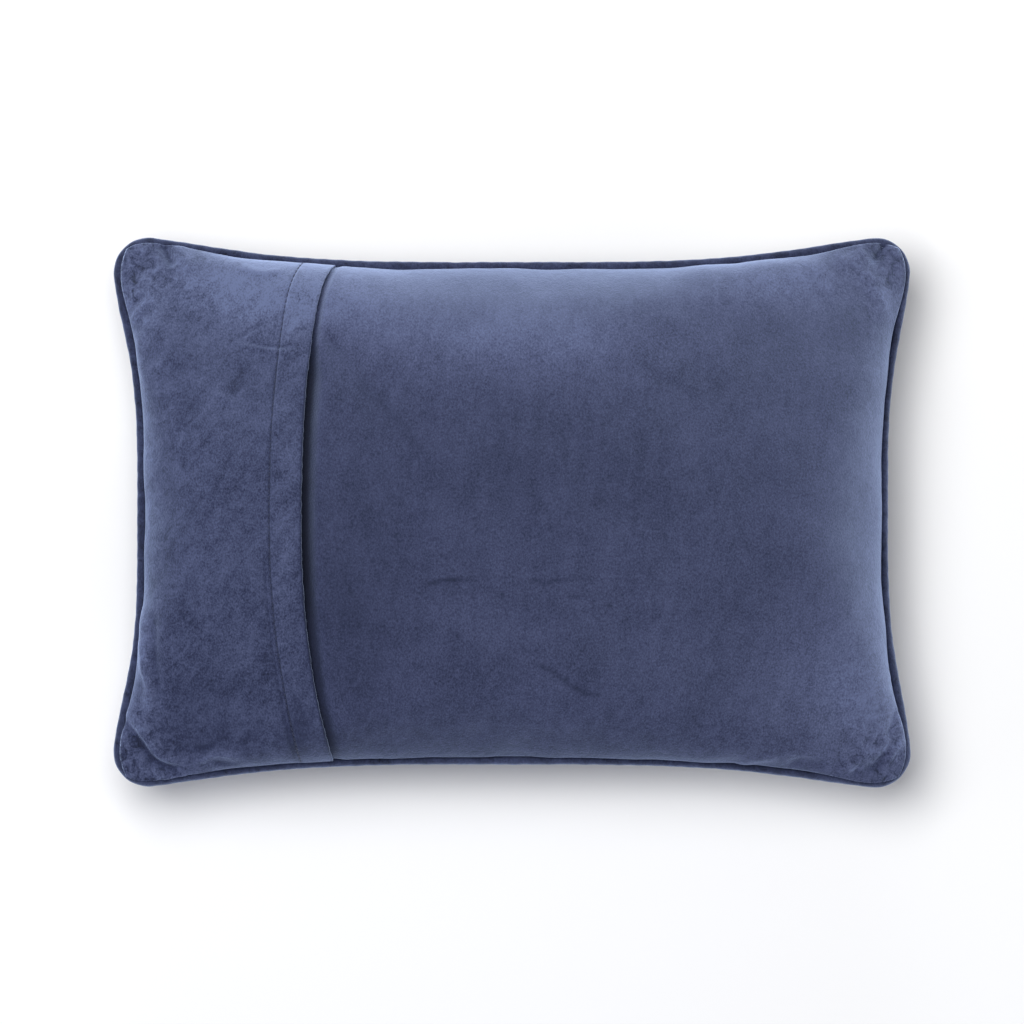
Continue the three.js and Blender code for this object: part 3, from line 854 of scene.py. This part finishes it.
def velvet(name, stops, sheen, marks, lean, stroke_turn):
    """Cotton velvet: a short cut pile on a woven ground. The pile is dark seen end on and pale seen
    from the side, so slopes glow and every brush mark shows. It leans a little, which turns its
    shading as if the surface tilted. Its marks, in millimetres: clouds of 55, hand strokes of about
    7 by 20 that run at an angle from the width, crushed spots of 6 that gather near the seams, and
    pile of 1.2, drawn coarser than real pile of about 0.3 so that it shows."""
    material, tree = new_material(name)
    place = add_node(tree, "ShaderNodeTexCoord").outputs["Object"]
    clouds = add_node(tree, "ShaderNodeTexNoise", {"Scale": 18.0, "Detail": 2.0, "Roughness": 0.5, "Distortion": 0.5},
                      {"Vector": place})
    turned = add_node(tree, "ShaderNodeMapping",
                      {"vector_type": "TEXTURE", "Rotation": (0.0, 0.0, stroke_turn), "Scale": (0.55, 1.6, 1.0)},
                      {"Vector": place})
    strokes = add_node(tree, "ShaderNodeTexNoise", {"Scale": 75.0, "Detail": 3.0, "Roughness": 0.6, "Distortion": 0.6},
                       {"Vector": turned.outputs["Vector"]})
    crush = add_node(tree, "ShaderNodeTexNoise", {"Scale": 160.0, "Detail": 3.0, "Roughness": 0.65, "Distortion": 0.8},
                     {"Vector": place})
    drawn = add_node(tree, "ShaderNodeMapping", {"Scale": (1.2, 0.85, 1.0)}, {"Vector": place})
    pile = add_node(tree, "ShaderNodeTexNoise", {"Scale": 850.0, "Detail": 2.0, "Roughness": 0.7},
                    {"Vector": drawn.outputs["Vector"]})
    near_seam = add_node(tree, "ShaderNodeAttribute", {"attribute_name": "near_seam"})
    # Painted light and shade kept on the vertices scale the pile's tone: highlights on ridges, side slopes and marks,
    # shade in troughs and creases, the shadow in the undercut and shade along the hem.
    painted_light_and_brushing = add_node(tree, "ShaderNodeAttribute", {"attribute_name": "painted_light_and_brushing"})

    crush_depth = add_node(tree, "ShaderNodeMath",
                           {"operation": "MULTIPLY_ADD", 1: marks["crush near seams"], 2: marks["crush"]},
                           {0: near_seam.outputs["Fac"]})
    centred = add_node(tree, "ShaderNodeMath", {"operation": "SUBTRACT", 1: 0.5}, {0: crush.outputs["Fac"]})
    spots = add_node(tree, "ShaderNodeMath", {"operation": "MULTIPLY"},
                     {0: centred.outputs["Value"], 1: crush_depth.outputs["Value"]})
    tone = add_node(tree, "ShaderNodeMath", {"operation": "ADD", 1: 1.0}, {0: spots.outputs["Value"]})
    for noise, depth in ((clouds, marks["clouds"]), (strokes, marks["strokes"]), (pile, marks["pile"])):
        swing = add_node(tree, "ShaderNodeMath", {"operation": "MULTIPLY_ADD", 1: depth, 2: -depth / 2},
                         {0: noise.outputs["Fac"]})
        tone = add_node(tree, "ShaderNodeMath", {"operation": "ADD"},
                        {0: tone.outputs["Value"], 1: swing.outputs["Value"]})
    marked = add_node(tree, "ShaderNodeMath", {"operation": "MULTIPLY_ADD"},
                      {0: painted_light_and_brushing.outputs["Fac"], 1: tone.outputs["Value"], 2: tone.outputs["Value"]})
    share = add_node(tree, "ShaderNodeMath", {"operation": "DIVIDE", 1: TONE_RANGE}, {0: marked.outputs["Value"]})
    ramp = add_node(tree, "ShaderNodeValToRGB", {}, {"Fac": share.outputs["Value"]})
    colour_stops(ramp, stops)

    nap = add_node(tree, "ShaderNodeMath", {"operation": "MULTIPLY_ADD", 1: 0.8},
                   {0: pile.outputs["Fac"], 2: spots.outputs["Value"]})
    bump = add_node(tree, "ShaderNodeBump", {"Strength": 0.6, "Distance": 0.0005}, {"Height": nap.outputs["Value"]})
    leaning = add_node(tree, "ShaderNodeVectorMath", {"operation": "ADD", 1: lean}, {0: bump.outputs["Normal"]})
    unit = add_node(tree, "ShaderNodeVectorMath", {"operation": "NORMALIZE"}, {0: leaning.outputs["Vector"]})
    surface = add_node(tree, "ShaderNodeBsdfPrincipled",
                       {"Roughness": 0.9, "Specular IOR Level": 0.1, "Sheen Weight": sheen,
                        "Sheen Roughness": 0.5, "Sheen Tint": to_linear("#bfd3ff")},
                       {"Base Color": ramp.outputs["Color"], "Normal": unit.outputs["Vector"]})
    add_node(tree, "ShaderNodeOutputMaterial", {}, {"Surface": surface.outputs["BSDF"]})
    return material


def yarn(name, stops, roughness, fibre):
    """Wool and cotton yarn: soft staple fibres, matt, darker between the stitches. The fibre noise
    is drawn at this many cells a metre, coarser than real fibres so that it shows."""
    material, tree = new_material(name)
    place = add_node(tree, "ShaderNodeTexCoord").outputs["Object"]
    dye = add_node(tree, "ShaderNodeTexNoise", {"Scale": 60.0, "Detail": 2.0}, {"Vector": place})
    fibres = add_node(tree, "ShaderNodeTexNoise", {"Scale": fibre, "Detail": 3.0, "Roughness": 0.7},
                      {"Vector": place})
    dyed = add_node(tree, "ShaderNodeMath", {"operation": "MULTIPLY", 1: 0.4}, {0: dye.outputs["Fac"]})
    tone = add_node(tree, "ShaderNodeMath", {"operation": "MULTIPLY_ADD", 1: 0.6},
                    {0: fibres.outputs["Fac"], 2: dyed.outputs["Value"]})
    ramp = add_node(tree, "ShaderNodeValToRGB", {}, {"Fac": tone.outputs["Value"]})
    colour_stops(ramp, stops)
    bump = add_node(tree, "ShaderNodeBump", {"Strength": 0.5, "Distance": 0.0003}, {"Height": fibres.outputs["Fac"]})
    surface = add_node(tree, "ShaderNodeBsdfPrincipled",
                       {"Roughness": roughness, "Specular IOR Level": 0.25, "Sheen Weight": 0.25,
                        "Sheen Roughness": 0.5, "Sheen Tint": to_linear("#c4cbe4")},
                       {"Base Color": ramp.outputs["Color"], "Normal": bump.outputs["Normal"]})
    add_node(tree, "ShaderNodeOutputMaterial", {}, {"Surface": surface.outputs["BSDF"]})
    return material


def area_light(name, energy, size, location, colour):
    """A square softbox that faces the middle of the pillow."""
    data = bpy.data.lights.new(name, "AREA")
    data.energy = energy
    data.size = size
    data.color = to_linear(colour)[:3]
    light = bpy.data.objects.new(name, data)
    bpy.context.scene.collection.objects.link(light)
    light.location = location
    light.rotation_euler = (Vector((0, 0, 0.05)) - Vector(location)).to_track_quat("-Z", "Y").to_euler()
    return light


back_panel, front_panel = sew_and_fill()
back_panel = to_crown(relaxed(back_panel), CROWN_BACK)
front_panel = to_crown(relaxed(front_panel), -CROWN_FRONT)

velvet_blue = velvet("cotton velvet, navy",
                     [(0.0, "#0b0c17"), (0.25, "#232840"), (0.4167, "#353a56"), (0.625, "#454b69"), (1.0, "#586183")],
                     0.98, {"clouds": 0.6, "strokes": 0.55, "crush": 0.5, "crush near seams": 1.7, "pile": 2.1},
                     (0.2, 0.4, 0.0), -0.1)
flap_blue = velvet("cotton velvet, navy, brushed askew",
                   [(0.0, "#0c0d18"), (0.25, "#262b45"), (0.4167, "#393f5b"), (0.625, "#49506e"), (1.0, "#5b6587")],
                   0.98, {"clouds": 0.9, "strokes": 1.1, "crush": 0.9, "crush near seams": 1.7, "pile": 2.3},
                   (0.2, 0.4, 0.0), -0.7)
piping_blue = velvet("cotton velvet on the bias, navy",
                     [(0.0, "#0b0c16"), (0.4167, "#2b3049"), (1.0, "#464d6b")],
                     0.8, {"clouds": 1.4, "strokes": 1.6, "crush": 2.2, "crush near seams": 0.0, "pile": 2.1},
                     (0.0, 0.0, 0.0), 0.8)
wool_blue = yarn("tent stitch wool, navy", [(0.3, "#2b3354"), (0.5, "#3c4569"), (0.7, "#4d577c")], 0.85, 1400.0)
thread_blue = yarn("cotton thread, navy", [(0.3, "#1d2238"), (0.7, "#2c3350")], 0.6, 2500.0)

back = make_back()
flap = make_flap()
hem_stitches = make_hem_stitches()
canvas = make_front()
tent_stitches = make_tent_stitches()
piping = make_piping()

for piece, material, slot in ((back, velvet_blue, "velvet"), (flap, flap_blue, "velvet"),
                              (hem_stitches, thread_blue, "velvet"), (canvas, wool_blue, "needlepoint"),
                              (tent_stitches, wool_blue, "needlepoint"), (piping, piping_blue, "piping")):
    piece.data.materials.append(material)
    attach(piece, "root")
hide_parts("cushion")
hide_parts("flap_panel")
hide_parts("front_panel")
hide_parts("piping")

floor_corners = [(-1, -1, 0), (1, -1, 0), (1, 1, 0), (-1, 1, 0)]
floor = new_piece("studio_floor", np.array(floor_corners) * FLOOR_HALF / MM, [(0, 1, 2, 3)])
paint, paint_tree = new_material("matt white paint")
paint_surface = add_node(paint_tree, "ShaderNodeBsdfPrincipled", {"Base Color": to_linear("#f4f4f4"), "Roughness": 0.9})
add_node(paint_tree, "ShaderNodeOutputMaterial", {}, {"Surface": paint_surface.outputs["BSDF"]})
floor.data.materials.append(paint)

for light in LIGHTS:
    area_light(*light)
world = bpy.data.worlds.new("studio")
world.use_nodes = True
world.node_tree.nodes["Background"].inputs["Color"].default_value = (1.0, 1.0, 1.0, 1.0)
world.node_tree.nodes["Background"].inputs["Strength"].default_value = AMBIENT
bpy.context.scene.world = world

camera_data = bpy.data.cameras.new("camera")
camera_data.lens = LENS
camera_data.sensor_width = SENSOR
camera = bpy.data.objects.new("camera", camera_data)
camera.location = (0.0, 0.0003, SEAM_HEIGHT * MM + VIEW_WIDTH * LENS / SENSOR)
bpy.context.scene.collection.objects.link(camera)
bpy.context.scene.camera = camera
bpy.context.scene.view_settings.view_transform = "Standard"
